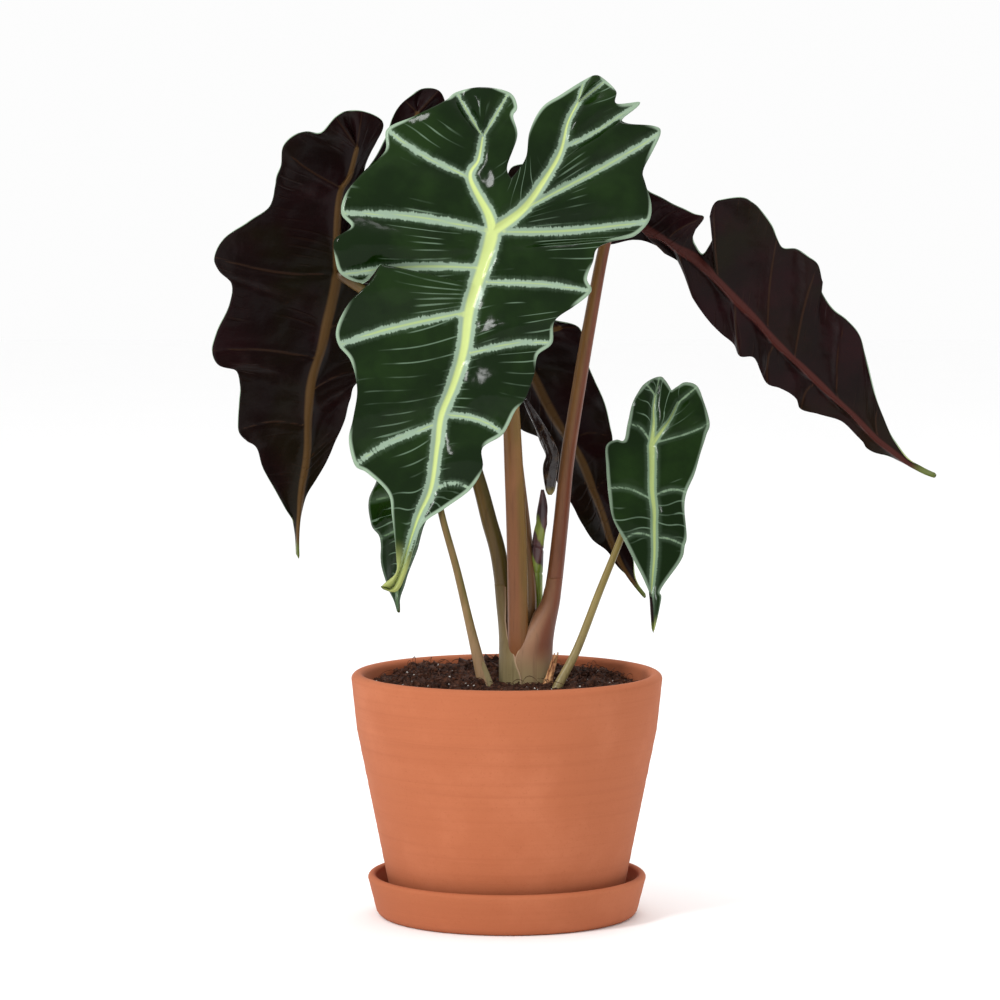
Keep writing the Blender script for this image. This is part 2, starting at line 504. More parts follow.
# Each leaf in millimetres: where its petiole joins, which way its upper side faces, then its ribs and
# its edge from there. An edge point is (stop, x, y, z), with the width of the vein that ends there
# after them where one does. The stop says which point of the ribs it belongs to: 0 to 2 along lobeA
# and back, 2 to 4 down the midrib and back, 4 to 6 along lobeB and back.
leafShapes = {
    "front": dict(
        facing=(0.03, -0.97, 0.22), puff=4, junction=(-7, -34, 344),
        midrib=[
            (-4, -3, -15), (-11, -8, -36), (-14, -12, -57), (-19, -15, -74), (-25, -17, -89),
            (-27, -20, -104), (-30, -23, -124), (-36, -24, -138), (-42.5, -26, -157.3),
            (-45.5, -27, -165.6), (-49.5, -27, -173.2), (-54, -27, -172.8),
        ],
        lobeA=[(-2, 2, 8), (-11, 7, 26), (-7, 9, 35), (-5, 13, 46)],
        lobeB=[(14, 3, 10), (24, 7, 23), (33, 13, 38), (37, 19, 53), (42, 23, 63)],
        edge=[
            (0, 9, 7, 25), (0.35, 7, 9, 31), (0.6, 12, 14, 46), (0.8, 10, 17, 56), (1, 12, 19, 61),
            (1, 8, 22, 68, 2), (1, -6, 22, 70), (1, -18, 22, 68, 2), (1, -24, 19, 63),
            (1.15, -38, 18, 56), (1.43, -52, 16, 50, 3), (1.55, -53, 13, 39), (1.7, -63, 8, 29),
            (1.85, -72, 1, 18), (2, -74, -4, 9, 4), (2.03, -69, -8, 2), (2.05, -77, -10, -4),
            (2.06, -77, -11, -12), (2.1, -74, -9, -21, 4), (2.14, -63, -6, -25), (2.15, -55, -12, -16),
            (2.17, -60, -16, -25), (2.19, -70, -17, -35), (2.21, -76, -17, -47),
            (2.22, -75, -18, -55, 4), (2.3, -69, -18, -63), (2.4, -66, -20, -77), (2.47, -68, -22, -91),
            (2.5, -70, -23, -101), (2.52, -67, -24, -113, 3), (2.58, -61, -24, -117),
            (2.66, -51, -24, -127), (2.76, -49, -25, -138), (2.88, -47, -26, -158),
            (2.95, -47.4, -27, -166), (3, -54, -27, -172.6), (3.03, -47, -27, -175),
            (3.08, -42.5, -27, -167), (3.14, -38, -26, -153), (3.22, -34, -25, -142),
            (3.27, -23, -25, -134), (3.3, -11, -24, -125, 1.6), (3.36, -5, -23, -115),
            (3.4, -5, -22, -105), (3.5, 5, -21, -98, 3), (3.54, 11, -20, -87), (3.57, 16, -19, -81),
            (3.6, 20, -17, -70), (3.63, 22, -15, -60), (3.665, 29, -14, -54, 3), (3.69, 30, -12, -44),
            (3.74, 39, -11, -37), (3.86, 48, -9, -29, 3), (3.88, 46, -7, -23), (3.9, 49, -3, -15),
            (3.92, 51, 0, -9), (3.94, 59, 3, -5), (3.96, 70, 8, -2), (4, 77, 11, 5, 4),
            (4.05, 78, 13, 13), (4.12, 75, 15, 23), (4.16, 74, 17, 29), (4.2, 79, 21, 39),
            (4.22, 83, 25, 48, 4), (4.3, 80, 26, 51), (4.45, 67, 23, 52), (4.55, 64, 24, 55),
            (4.69, 73, 29, 63, 2.5), (4.78, 61, 26, 62), (4.9, 61, 28, 68), (5, 56, 30, 74, 2),
            (5, 51, 30, 76), (5, 45, 28, 74, 2), (5.12, 34, 24, 67), (5.25, 24, 20, 60),
            (5.5, 18, 15, 48), (5.8, 16, 10, 35), (6, 9, 7, 25),
        ],
    ),
    "left": dict(
        facing=(-0.3, 0.88, 0.36), puff=3.5, junction=(-86, 36, 322),
        midrib=[
            (-2, 4, -11), (-6, 9, -27), (-9, 12, -40), (-14, 17, -56), (-16, 22, -73), (-17, 28, -94),
            (-20, 33, -113), (-21, 36, -126), (-22, 40, -140), (-22, 43, -150),
        ],
        lobeA=[(8, -3, 18), (19, -8, 40), (30, -12, 60), (41, -15, 80)],
        lobeB=[(0, -7, 16), (2, -19, 40), (7, -22, 49), (11, -30, 63)],
        edge=[
            (0, 14, -12, 48), (0.45, 20, -13, 57), (0.75, 25, -15, 67), (0.92, 29, -16, 78),
            (1, 35, -17, 86, 2), (1, 44, -18, 91), (1, 52, -18, 91, 2), (1.15, 56, -17, 83),
            (1.4, 57, -14, 69, 2), (1.65, 58, -10, 54), (1.85, 54, -4, 36), (2, 47, 1, 22),
            (2, 40, 9, 5, 3), (2.08, 35, 14, -10), (2.2, 33, 20, -28, 3), (2.3, 27, 23, -41),
            (2.42, 17, 25, -52, 3), (2.5, 8, 25, -59), (2.55, 6, 27, -67), (2.6, 3, 29, -77),
            (2.66, -2, 31, -87, 2), (2.74, -8, 33, -101), (2.82, -16, 35, -115), (2.9, -20, 36, -125),
            (2.95, -21, 39, -134), (3, -22, 43, -150), (3.06, -23, 38, -134), (3.14, -28, 33, -124),
            (3.22, -33, 28, -114), (3.3, -39, 22, -102), (3.36, -42, 17, -91), (3.41, -47, 14, -87),
            (3.46, -51, 10, -81, 3), (3.54, -50, 6, -67), (3.57, -49, 3, -59), (3.6, -51, -1, -51),
            (3.66, -60, -7, -47), (3.7, -63, -11, -39, 4), (3.74, -60, -14, -30), (3.8, -53, -16, -16),
            (3.84, -52, -19, -6), (3.9, -58, -26, 1), (4, -60, -30, 8, 4), (4.1, -55, -31, 17),
            (4.25, -42, -30, 26), (4.4, -32, -29, 32), (4.5, -29, -32, 42), (4.56, -28, -36, 48),
            (4.62, -26, -39, 54), (4.66, -25, -45, 63, 3), (4.75, -20, -46, 68), (4.85, -13, -45, 70),
            (5, -6, -42, 70), (5, 1, -45, 78, 2), (5, 7, -45, 80), (5, 14, -42, 81, 2),
            (5.2, 24, -36, 76), (5.5, 21, -28, 66), (5.8, 16, -19, 56), (6, 14, -12, 48),
        ],
    ),
    "right": dict(
        facing=(0.3, 0.85, 0.42), puff=3, junction=(56, 16, 355),
        midrib=[
            (12, 1, -10), (27, -1, -19), (41, -2, -28), (57, -1, -44), (70, 1, -57), (82, 2, -70),
            (97, 2, -84), (117, 1, -103), (135, 0, -120), (147, -1, -130), (159, -5, -135),
        ],
        lobeA=[(-5, -3, 9), (-10, -6, 17), (-12, -10, 26)],
        lobeB=[(-14, 4, 1), (-29, 5, 8), (-44, 5, 14)],
        edge=[
            (0, -14, -2, 12), (0.5, -20, -4, 19), (1, -19, -9, 28, 2), (1, -14, -14, 33),
            (1, -6, -16, 32, 2), (1.5, 5, -14, 23), (1.8, 11, -11, 14, 2), (2, 14, -9, 8),
            (2.05, 23, -10, 3), (2.1, 36, -12, -3), (2.14, 42, -14, -5, 2), (2.18, 38, -9, -11),
            (2.21, 37, -5, -17), (2.24, 41, -3, -24), (2.27, 44, -6, -21), (2.28, 47, -12, -13),
            (2.29, 45, -15, -5), (2.3, 47, -20, 2, 3), (2.32, 51, -23, 4), (2.36, 60, -28, 5),
            (2.38, 65, -29, 2), (2.4, 70, -28, -3), (2.44, 75, -27, -9), (2.47, 78, -25, -15, 3),
            (2.5, 81, -24, -20), (2.52, 87, -26, -21), (2.54, 93, -28, -24), (2.56, 98, -27, -28, 3),
            (2.6, 100, -24, -36), (2.63, 100, -21, -42), (2.67, 106, -19, -50), (2.7, 113, -20, -55, 3),
            (2.74, 119, -19, -63), (2.77, 122, -15, -73), (2.8, 126, -11, -86),
            (2.84, 131, -7, -100, 2), (2.9, 137, -3, -114), (2.93, 144, -2, -125),
            (2.97, 151, -2, -131), (3, 159, -5, -135), (3.05, 141, 1, -128), (3.12, 127, 4, -122),
            (3.18, 123, 4, -117, 2), (3.24, 113, 5, -109), (3.3, 102, 8, -105), (3.36, 93, 11, -102, 3),
            (3.42, 90, 10, -97), (3.47, 82, 11, -92), (3.5, 76, 12, -89, 3), (3.55, 72, 11, -83),
            (3.6, 68, 10, -76), (3.64, 62, 11, -75, 3), (3.67, 59, 11, -70), (3.72, 52, 11, -65),
            (3.76, 47, 10, -59), (3.82, 39, 8, -47, 3), (3.87, 35, 5, -37), (3.9, 32, 3, -30),
            (3.94, 24, 3, -24, 3), (3.97, 19, 3, -20), (4, 7, 6, -17), (4, -6, 11, -19, 2),
            (4.3, -21, 14, -15), (4.6, -36, 13, -5, 2), (5, -52, 11, 5), (5, -56, 8, 12, 2),
            (5, -53, 3, 20), (5.4, -39, 0, 20), (5.7, -27, 1, 14), (6, -14, -2, 12),
        ],
    ),
    "back": dict(
        facing=(0.28, 0.88, 0.38), puff=2.5, junction=(7, 42, 282),
        midrib=[
            (9, 5, -18), (15, 7, -30), (22, 10, -42), (30, 11, -54), (39, 15, -76), (47, 19, -99),
            (55, 22, -118), (64, 21, -129),
        ],
        lobeA=[(6, -4, 5), (13, -9, 10), (20, -13, 12)],
        lobeB=[(-9, 2, 2), (-15, 2, 6), (-21, 1, 10)],
        edge=[
            (0, -4, -4, 11), (0.5, 2, -8, 15), (1, 10, -11, 17, 2), (1, 18, -13, 15),
            (1, 29, -17, 12, 2), (1.4, 32, -13, 3), (2, 33, -11, -5), (2.08, 37, -8, -14, 2),
            (2.18, 40, -6, -21), (2.28, 44, -3, -31), (2.38, 47, 1, -44, 3), (2.48, 47, 5, -55),
            (2.58, 52, 8, -69, 2), (2.68, 52, 12, -83), (2.78, 56, 15, -96, 2), (2.88, 58, 18, -109),
            (2.95, 59, 21, -120), (3, 64, 21, -129), (3.08, 57, 22, -121), (3.16, 50, 22, -113),
            (3.24, 45, 22, -104, 2), (3.32, 36, 23, -98), (3.38, 31, 23, -91), (3.46, 26, 21, -80, 2),
            (3.54, 19, 20, -69), (3.62, 16, 17, -57), (3.7, 13, 15, -48), (3.78, 8, 15, -45, 2),
            (3.88, 0, 16, -42), (3.96, -8, 16, -34), (4, -13, 13, -24, 2), (4.5, -19, 10, -11),
            (5, -26, 7, 0, 2), (5, -28, 4, 9), (5, -21, -1, 16), (5.5, -13, -3, 14), (6, -4, -4, 11),
        ],
    ),
    "low_left": dict(
        facing=(-0.75, -0.6, 0.3), puff=1.5, junction=(-39, 6, 226), veins=0.5,
        midrib=[
            (-5, 0, -12), (-9, 0, -25), (-12, -2, -40), (-15, -4, -53), (-16, -5, -63), (-15, -9, -73),
        ],
        lobeA=[(-3, 8, 7), (-5, 15, 14)],
        lobeB=[(3, 1, 9), (5, 2, 16)],
        edge=[
            (0, 0, 4, 8), (1, -2, 13, 17), (1, -6, 21, 20, 1.5), (1.4, -14, 28, 13), (1.8, -21, 34, 3),
            (2, -26, 38, -7, 1.5), (2.1, -28, 37, -15), (2.25, -31, 39, -22, 1.5), (2.35, -29, 28, -33),
            (2.48, -25, 18, -39, 1.5), (2.65, -25, 12, -52), (2.8, -21, 3, -62), (2.92, -18, -3, -67),
            (3, -15, -9, -73), (3.08, -14, -8, -66), (3.2, -11, -9, -57), (3.35, -7, -10, -44),
            (3.5, -3, -10, -31), (3.65, 2, -11, -19, 1.5), (3.85, 5, -11, -11), (4, 8, -11, -2, 1.5),
            (4.5, 10, -7, 8), (5, 8, -1, 17, 1.5), (5, 4, 6, 20), (5.5, 2, 5, 14), (6, 0, 4, 8),
        ],
    ),
    "low_right": dict(
        facing=(0.1, -0.96, 0.26), puff=2, junction=(72, -14, 238), veins=0.5,
        midrib=[
            (0, -3, -11), (0, -6, -22), (1, -8, -32), (1, -10, -40), (1, -13, -54), (0, -15, -65),
            (-1, -17, -77), (0, -19, -92),
        ],
        lobeA=[(1, 3, 10), (1, 5, 17), (2, 8, 24)],
        lobeB=[(6, 3, 8), (9, 5, 12), (13, 8, 20)],
        edge=[
            (0, 10, 10, 26), (0.5, 7, 11, 31), (1, 4, 11, 33, 1.2), (1, -3, 9, 30, 1.2),
            (1.3, -7, 7, 25), (1.6, -10, 5, 19), (2, -12, 2, 10, 1.5), (2.05, -14, -1, 2),
            (2.1, -18, -1, 2), (2.18, -23, -2, -1), (2.22, -23, -4, -11), (2.3, -22, -7, -22, 1.5),
            (2.4, -20, -10, -36), (2.5, -14, -12, -47, 1.2), (2.62, -9, -14, -57), (2.74, -4, -16, -67),
            (2.86, -1, -17, -76), (3, 0, -19, -92), (3.14, 4, -16, -76), (3.22, 4, -15, -71),
            (3.4, 14, -12, -57), (3.5, 16, -10, -50, 1.2), (3.56, 17, -9, -45), (3.65, 16, -6, -32),
            (3.72, 17, -4, -24, 1.5), (3.8, 21, -1, -15), (3.9, 24, 2, -5), (4, 27, 5, 4),
            (4, 29, 8, 10, 1.5), (4.4, 26, 10, 20), (5, 23, 12, 28, 1.2), (5, 17, 12, 30),
            (5.5, 13, 11, 28), (6, 10, 10, 26),
        ],
    ),
}


# The blades, in millimetres. Rib widths go from the junction to the tip, a groove is (depth, width),
# and runs count along each rib from ribRun times its number and along side veins from sideStart on.
veinLook = dict(
    ribWidth=(4.9, 2.3), lobeWidth=(4.0, 1.6), ribGroove=(1.3, 3.0), sideGroove=(0.75, 2.4),
    bow=0.3, laneWidth=6.5, ribSteps=300, sideSteps=130, ribRun=300, sideStart=900, sideRun=200,
    rows=34, thickness=0.6,
)


def spotsOnRibs(stops, fineness):
    # pairs of (stop, edge position); both sides of a rib use the same places on it so they join
    index = np.arange(len(stops), dtype=float)
    edgeSpots = np.arange(0, len(stops) - 1 + 1e-6, 1 / fineness)
    ribSpots = np.interp(edgeSpots, index, stops)
    pairs = []
    for branch in range(3):
        near = ribSpots[(ribSpots > 2 * branch + 1e-4) & (ribSpots < 2 * branch + 2 - 1e-4)] - 2 * branch
        shares = np.unique(np.round(np.where(near > 1, 2 - near, near), 3))
        shares = shares[(shares > 0.004) & (shares < 0.996)]
        for half in (0, 1):
            side = 2 * branch + half
            fan = index[np.isclose(stops, side)]
            if len(fan) > 1:
                fanSpots = np.arange(fan[0], fan[-1] + 1e-6, 1 / fineness)
            else:
                fanSpots = [np.interp(side, stops, index)]
            pairs += [(side, spot) for spot in fanSpots]
            inner = side + (shares if half == 0 else 1 - shares[::-1])
            pairs += list(zip(inner, np.interp(inner, stops, index)))
    last = index[np.isclose(stops, 6)]
    pairs += [(6.0, spot) for spot in np.arange(last[0], last[-1] + 1e-6, 1 / fineness)]
    return np.array(pairs)


def nearestIn(samples, points):
    # distance to the nearest sample, and which one it is
    tree = kdtree.KDTree(len(samples))
    for k, place in enumerate(samples):
        tree.insert(place, k)
    tree.balance()
    found = [tree.find(place)[1:] for place in points]
    return np.array([d for _, d in found]), np.array([k for k, _ in found])


def bladeGrid(leaf, rows, fineness):
    # each column runs from the ribs to the edge: spine + (edge - spine) * r
    edge = np.array([e[1:4] for e in leaf["edge"]], float)
    stops = np.array([e[0] for e in leaf["edge"]], float)
    steps = veinLook["ribSteps"]
    ribs = [evenCurve(np.vstack([(0, 0, 0), leaf[key]]), steps + 1) for key in ("lobeA", "midrib", "lobeB")]
    pairs = spotsOnRibs(stops, fineness)
    margin = smoothCurve(edge, pairs[:, 1])
    branch = np.minimum(pairs[:, 0] // 2, 2).astype(int)
    out = pairs[:, 0] - 2 * branch
    share = np.where(out <= 1, out, 2 - out) * steps
    spine = np.empty_like(margin)
    for k in range(3):
        mine = branch == k
        for a in range(3):
            spine[mine, a] = np.interp(share[mine], np.arange(steps + 1), ribs[k][:, a])
    r = np.linspace(0, 1, rows)[:, None, None]
    return spine + (margin - spine) * r, pairs, ribs


def onGrid(grid, columnAt, rowAt):
    # straight-line reading of the grid at fractional columns and rows
    rows, columns, _ = grid.shape
    c = np.clip(columnAt, 0, columns - 1.001)
    r = np.clip(rowAt, 0, rows - 1.001)
    i, j = c.astype(int), r.astype(int)
    u, v = (c - i)[:, None], (r - j)[:, None]
    low = grid[j, i] * (1 - u) + grid[j, i + 1] * u
    high = grid[j + 1, i] * (1 - u) + grid[j + 1, i + 1] * u
    return low * (1 - v) + high * v


def veinSamples(leaf, grid, pairs, ribs):
    # rows of (x, y, z, half width, run, 1 on a rib, share of its length) along every rib and side
    # vein; a side vein bows from its straight column by bow * sin(pi * share)
    samples = []
    scale = leaf.get("veins", 1.0)
    share = np.linspace(0, 1, veinLook["ribSteps"] + 1)
    for k, rib in enumerate(ribs):
        wide, narrow = veinLook["ribWidth"] if k == 1 else veinLook["lobeWidth"]
        length = np.linalg.norm(np.diff(rib, axis=0), axis=1).sum()
        half = (wide + (narrow - wide) * share) * scale
        run = veinLook["ribRun"] * k + share * length
        samples.append(np.column_stack([rib, half, run, np.ones(len(share)), share]))
    share = np.linspace(0, 1, veinLook["sideSteps"])
    for n, entry in enumerate(leaf["edge"]):
        if len(entry) < 5:
            continue
        stop, width = entry[0], entry[4]
        sweep = veinLook["bow"] * (-1 if stop % 2 < 1 else 1)
        if stop in (0, 1, 3, 5, 6):
            sweep = 0
        spot = n + sweep * np.sin(np.pi * share)
        column = np.interp(spot, pairs[:, 1], np.arange(len(pairs)))
        path = onGrid(grid, column, share * (len(grid) - 1))
        half = width / 2 * (0.62 + 0.42 * np.sin(np.pi * share ** 0.8)) * scale
        length = np.linalg.norm(np.diff(path, axis=0), axis=1).sum()
        run = veinLook["sideStart"] + veinLook["sideRun"] * n + share * length
        samples.append(np.column_stack([path, half, run, np.zeros(len(share)), share]))
    return np.vstack(samples)


def swelling(leaf, pairs):
    # between each two veins: puff * sin(pi * across) ** 2 * sin(0.8 * pi * r)
    veins = np.array([n for n, e in enumerate(leaf["edge"]) if len(e) > 4], float)
    turn = len(leaf["edge"]) - 1
    bounds = np.concatenate([[veins[-1] - turn], veins, [veins[0] + turn]])
    cell = np.clip(np.searchsorted(bounds, pairs[:, 1], side="right") - 1, 0, len(bounds) - 2)
    across = (pairs[:, 1] - bounds[cell]) / (bounds[cell + 1] - bounds[cell])
    r = np.linspace(0, 1, veinLook["rows"])[:, None]
    return leaf["puff"] * (np.sin(np.pi * across) ** 2)[None, :] * np.sin(0.8 * np.pi * r)


def laneValues(grid, seed):
    # lanes part the thin lines, one for each laneWidth of the edge; pitch is a lane's width there
    edgeRun = np.concatenate([[0], np.cumsum(np.linalg.norm(np.diff(grid[-1], axis=0), axis=1))])
    lanes = round(edgeRun[-1] / veinLook["laneWidth"])
    lane = edgeRun / edgeRun[-1] * lanes
    r = np.linspace(0, 1, len(grid))[:, None]
    turns = 2 * np.pi * (lane + 0.16 * np.sin(6 * r + seed))
    spread = np.linalg.norm(np.gradient(grid, axis=1), axis=2)
    pitch = spread / np.maximum(np.gradient(lane), 1e-3)[None, :]
    return {"laneSin": np.sin(turns), "laneCos": np.cos(turns), "pitch": np.clip(pitch, 0.2, 12)}


def makeBlade(name, leaf, materials, seed):
    # a groove is depth * exp(-(gap / width) ** 2), shallower within a few millimetres of the edge
    flat, pairs, ribs = bladeGrid(leaf, veinLook["rows"], leaf.get("fineness", 6))
    facing = np.array(leaf["facing"]) / np.linalg.norm(leaf["facing"])
    grid = flat + swelling(leaf, pairs)[..., None] * facing
    points = grid.reshape(-1, 3)
    samples = veinSamples(leaf, grid, pairs, ribs)
    major = samples[:, 5] > 0
    ribGap, ribSpot = nearestIn(samples[major, :3], points)
    sideGap, sideSpot = nearestIn(samples[~major, :3], points)
    turn = len(leaf["edge"]) - 1
    rim = smoothCurve([e[1:4] for e in leaf["edge"]], np.linspace(0, turn, turn * 30))
    rimGap, _ = nearestIn(rim, points)
    ribData, sideData = samples[major][ribSpot], samples[~major][sideSpot]
    ribHalf, ribRun, ribShare = ribData[:, 3], ribData[:, 4], ribData[:, 6]
    sideHalf = sideData[:, 3]

    deep, wide = veinLook["ribGroove"]
    groove = deep * np.exp(-(ribGap / (wide * (0.5 + 0.11 * ribHalf))) ** 2) * np.minimum(1, rimGap / 7)
    deep, wide = veinLook["sideGroove"]
    sideGroove = deep * np.exp(-(sideGap / wide) ** 2) * np.minimum(1, rimGap / 6)
    groove = np.maximum(groove, sideGroove)
    wave = ripple(points, 26, seed, 2) * 0.5 + ripple(points, 8, seed + 3, 2) * 0.12
    wave = wave * smoothStep(0, 6, np.minimum(ribGap, sideGap))
    flutter = ripple(points, 34, seed + 5, 2) * smoothStep(14, 0, rimGap) * 1.4
    points = points + (wave + flutter - groove)[:, None] * facing
    points = points + np.array(leaf["junction"])

    isRib = ribGap - ribHalf < sideGap - sideHalf
    onMidrib = (ribRun >= veinLook["ribRun"]) & (ribRun < 2 * veinLook["ribRun"])
    values = {
        "veinGap": np.minimum(ribGap - ribHalf, sideGap - sideHalf),
        "veinCore": np.where(isRib, ribGap / ribHalf, sideGap / sideHalf),
        "onRib": isRib.astype(float),
        "veinRun": np.where(isRib, ribRun, sideData[:, 4]),
        "ribShare": ribShare,
        "tipShare": np.where(onMidrib, ribShare, 0),
        "rimGap": rimGap,
        **laneValues(grid, seed),
    }
    first, faces = weldGrid(points, gridFaces(veinLook["rows"], flat.shape[1], False))
    faces = outwards(points[first], faces, facing)
    mesh = makeMesh(name, points[first], faces)
    for key, value in values.items():
        setAttribute(mesh, key, value.reshape(-1)[first])
    piece = addPiece(name, mesh, materials, [name.replace("leaf_blade", "blade")])
    thicken(piece, veinLook["thickness"], -1.0, 1)


leafLook = dict(
    blade=(0.003, 0.011, 0.001), bladePale=(0.008, 0.023, 0.003), thin=(0.16, 0.24, 0.16),
    vein=(0.33, 0.43, 0.19), veinEdge=(0.25, 0.34, 0.25), core=(0.50, 0.59, 0.22),
    rim=(0.25, 0.34, 0.24), tip=(0.38, 0.42, 0.13), dim=(0.05, 0.10, 0.03),
    under=(0.007, 0.0032, 0.003), underRed=(0.014, 0.0035, 0.0045), underGreen=(0.008, 0.007, 0.0025),
    underRib=(0.095, 0.050, 0.016), underVein=(0.024, 0.011, 0.006), underTip=(0.09, 0.11, 0.025),
    gloss=0.13, shine=0.11, underGloss=0.28, underShine=0.07,
)


def thinLines(tree, width):
    # 1 on the thin lines that run between the veins, where patches of noise let them show:
    # |turn from the nearest lane| * pitch < width
    angle = mathNode(tree, "ARCTAN2", readAttribute(tree, "laneSin"), readAttribute(tree, "laneCos"))
    gap = times(tree, mathNode(tree, "ABSOLUTE", angle), 1 / (2 * math.pi))
    gap = times(tree, gap, readAttribute(tree, "pitch"))
    patches = noiseNode(tree, objectPlace(tree), 34.0, 2.0, 0.5)
    onLine = oneMinus(tree, fadeNode(tree, gap, width * 0.25, width))
    return times(tree, onLine, fadeNode(tree, patches, 0.49, 0.64))


def spikes(tree, amount):
    # frayed edges for the veins: noise that changes quickly along a vein and slowly across it
    along = joinNumbers(tree, times(tree, readAttribute(tree, "veinRun"), 1.15))
    fray = mathNode(tree, "SUBTRACT", noiseNode(tree, along, 1.0, 2.0, 0.7), 0.5)
    grain = mathNode(tree, "SUBTRACT", noiseNode(tree, objectPlace(tree), 330.0, 3.0, 0.6), 0.5)
    both = mathNode(tree, "ADD", times(tree, fray, amount), times(tree, grain, amount * 0.8))
    return mathNode(tree, "ADD", readAttribute(tree, "veinGap"), both)


def leafTop(name, paleTip=0.84, brightness=1.0, fray=3.0):
    # dark blade, thin lines and a halo round the veins, then the veins with bright cores, the rim
    # and the pale tip; brightness 1 shows the veins in full
    finish, tree, shader = newMaterial(name)
    place = objectPlace(tree)
    clouds = noiseNode(tree, place, 30.0, 4.0, 0.55)
    cells = noiseNode(tree, place, 1500.0, 2.0, 0.6)
    core = readAttribute(tree, "veinCore")
    frayed = spikes(tree, fray)
    onVein = oneMinus(tree, fadeNode(tree, frayed, -0.25, 0.45))
    halo = oneMinus(tree, fadeNode(tree, frayed, 0.0, 2.6))
    blade = stain(tree, leafLook["blade"], clouds, 0.4, 0.7, 1.0, leafLook["bladePale"])
    blade = mixNode(tree, times(tree, thinLines(tree, 0.5), 0.6), blade, leafLook["thin"])
    blade = mixNode(tree, times(tree, halo, 0.14), blade, leafLook["thin"])
    vein = mixNode(tree, fadeNode(tree, core, 0.14, 0.42), leafLook["vein"], leafLook["veinEdge"])
    farCore = mathNode(tree, "ADD", core, times(tree, readAttribute(tree, "ribShare"), 0.5))
    bright = oneMinus(tree, fadeNode(tree, farCore, 0.42, 0.8))
    vein = mixNode(tree, times(tree, bright, readAttribute(tree, "onRib")), vein, leafLook["core"])
    vein = mixNode(tree, 1.0 - brightness, vein, leafLook["dim"])
    colour = mixNode(tree, onVein, blade, vein)
    onRim = oneMinus(tree, fadeNode(tree, readAttribute(tree, "rimGap"), 1.0, 2.1))
    colour = mixNode(tree, times(tree, onRim, brightness), colour, leafLook["rim"])
    tip = readAttribute(tree, "tipShare")
    colour = stain(tree, colour, tip, paleTip, paleTip + 0.1, 0.8, leafLook["tip"])
    normal = bumpNode(tree, thinLines(tree, 0.9), -0.3, 0.0004)
    normal = bumpNode(tree, noiseNode(tree, place, 90.0, 2.0, 0.4), 0.35, 0.0025, normal)
    normal = bumpNode(tree, cells, 0.05, 0.0003, normal)
    coat(tree, shader, colour, leafLook["gloss"], leafLook["shine"] * min(1.0, brightness + 0.2), normal)
    return finish


def leafUnder(name, reddish=0.6, ribTint=(1.0, 1.0, 1.0)):
    # reddish and greenish clouds, then lines as wide as 0.38 of a vein, or 0.63 of a rib
    finish, tree, shader = newMaterial(name)
    place = objectPlace(tree)
    clouds = noiseNode(tree, place, 30.0, 4.0, 0.55)
    green = noiseNode(tree, place, 21.0, 3.0, 0.5)
    cells = noiseNode(tree, place, 900.0, 3.0, 0.6)
    onRibs = readAttribute(tree, "onRib")
    colour = stain(tree, leafLook["under"], clouds, 0.38, 0.68, reddish, leafLook["underRed"])
    colour = stain(tree, colour, green, 0.45, 0.7, 0.7, leafLook["underGreen"])
    rib = tuple(a * b for a, b in zip(leafLook["underRib"], ribTint))
    line = mixNode(tree, onRibs, leafLook["underVein"], rib)
    width = mathNode(tree, "ADD", times(tree, onRibs, 0.25), 0.38)
    ratio = mathNode(tree, "DIVIDE", readAttribute(tree, "veinCore"), width)
    onLine = oneMinus(tree, fadeNode(tree, ratio, 0.55, 1.15))
    colour = mixNode(tree, times(tree, onLine, 0.85), colour, line)
    colour = mixNode(tree, times(tree, thinLines(tree, 0.5), 0.25), colour, leafLook["underVein"])
    colour = stain(tree, colour, readAttribute(tree, "tipShare"), 0.93, 0.97, 1.0, leafLook["underTip"])
    normal = bumpNode(tree, thinLines(tree, 0.9), 0.4, 0.0004)
    normal = bumpNode(tree, noiseNode(tree, place, 150.0, 2.0, 0.4), 0.3, 0.0014, normal)
    normal = bumpNode(tree, cells, 0.12, 0.0003, normal)
    coat(tree, shader, colour, leafLook["underGloss"], leafLook["underShine"], normal)
    return finish


def makeBlades():
    # the low leaves show their veins less, and the right leaf is redder below
    top = leafTop("blade_top")
    lowTops = {
        "low_left": leafTop("blade_top_low_left", 1.0, 0.2, 0.9),
        "low_right": leafTop("blade_top_low_right", 0.9, 0.55, 0.9),
    }
    under = leafUnder("blade_under")
    redUnder = leafUnder("blade_under_red", 1.0, (0.6, 0.3, 0.75))
    for seed, (name, leaf) in enumerate(leafShapes.items()):
        materials = [lowTops.get(name, top), redUnder if name == "right" else under]
        makeBlade(f"leaf_blade_{name}", leaf, materials, 40 + 7 * seed)
    print("blades made")


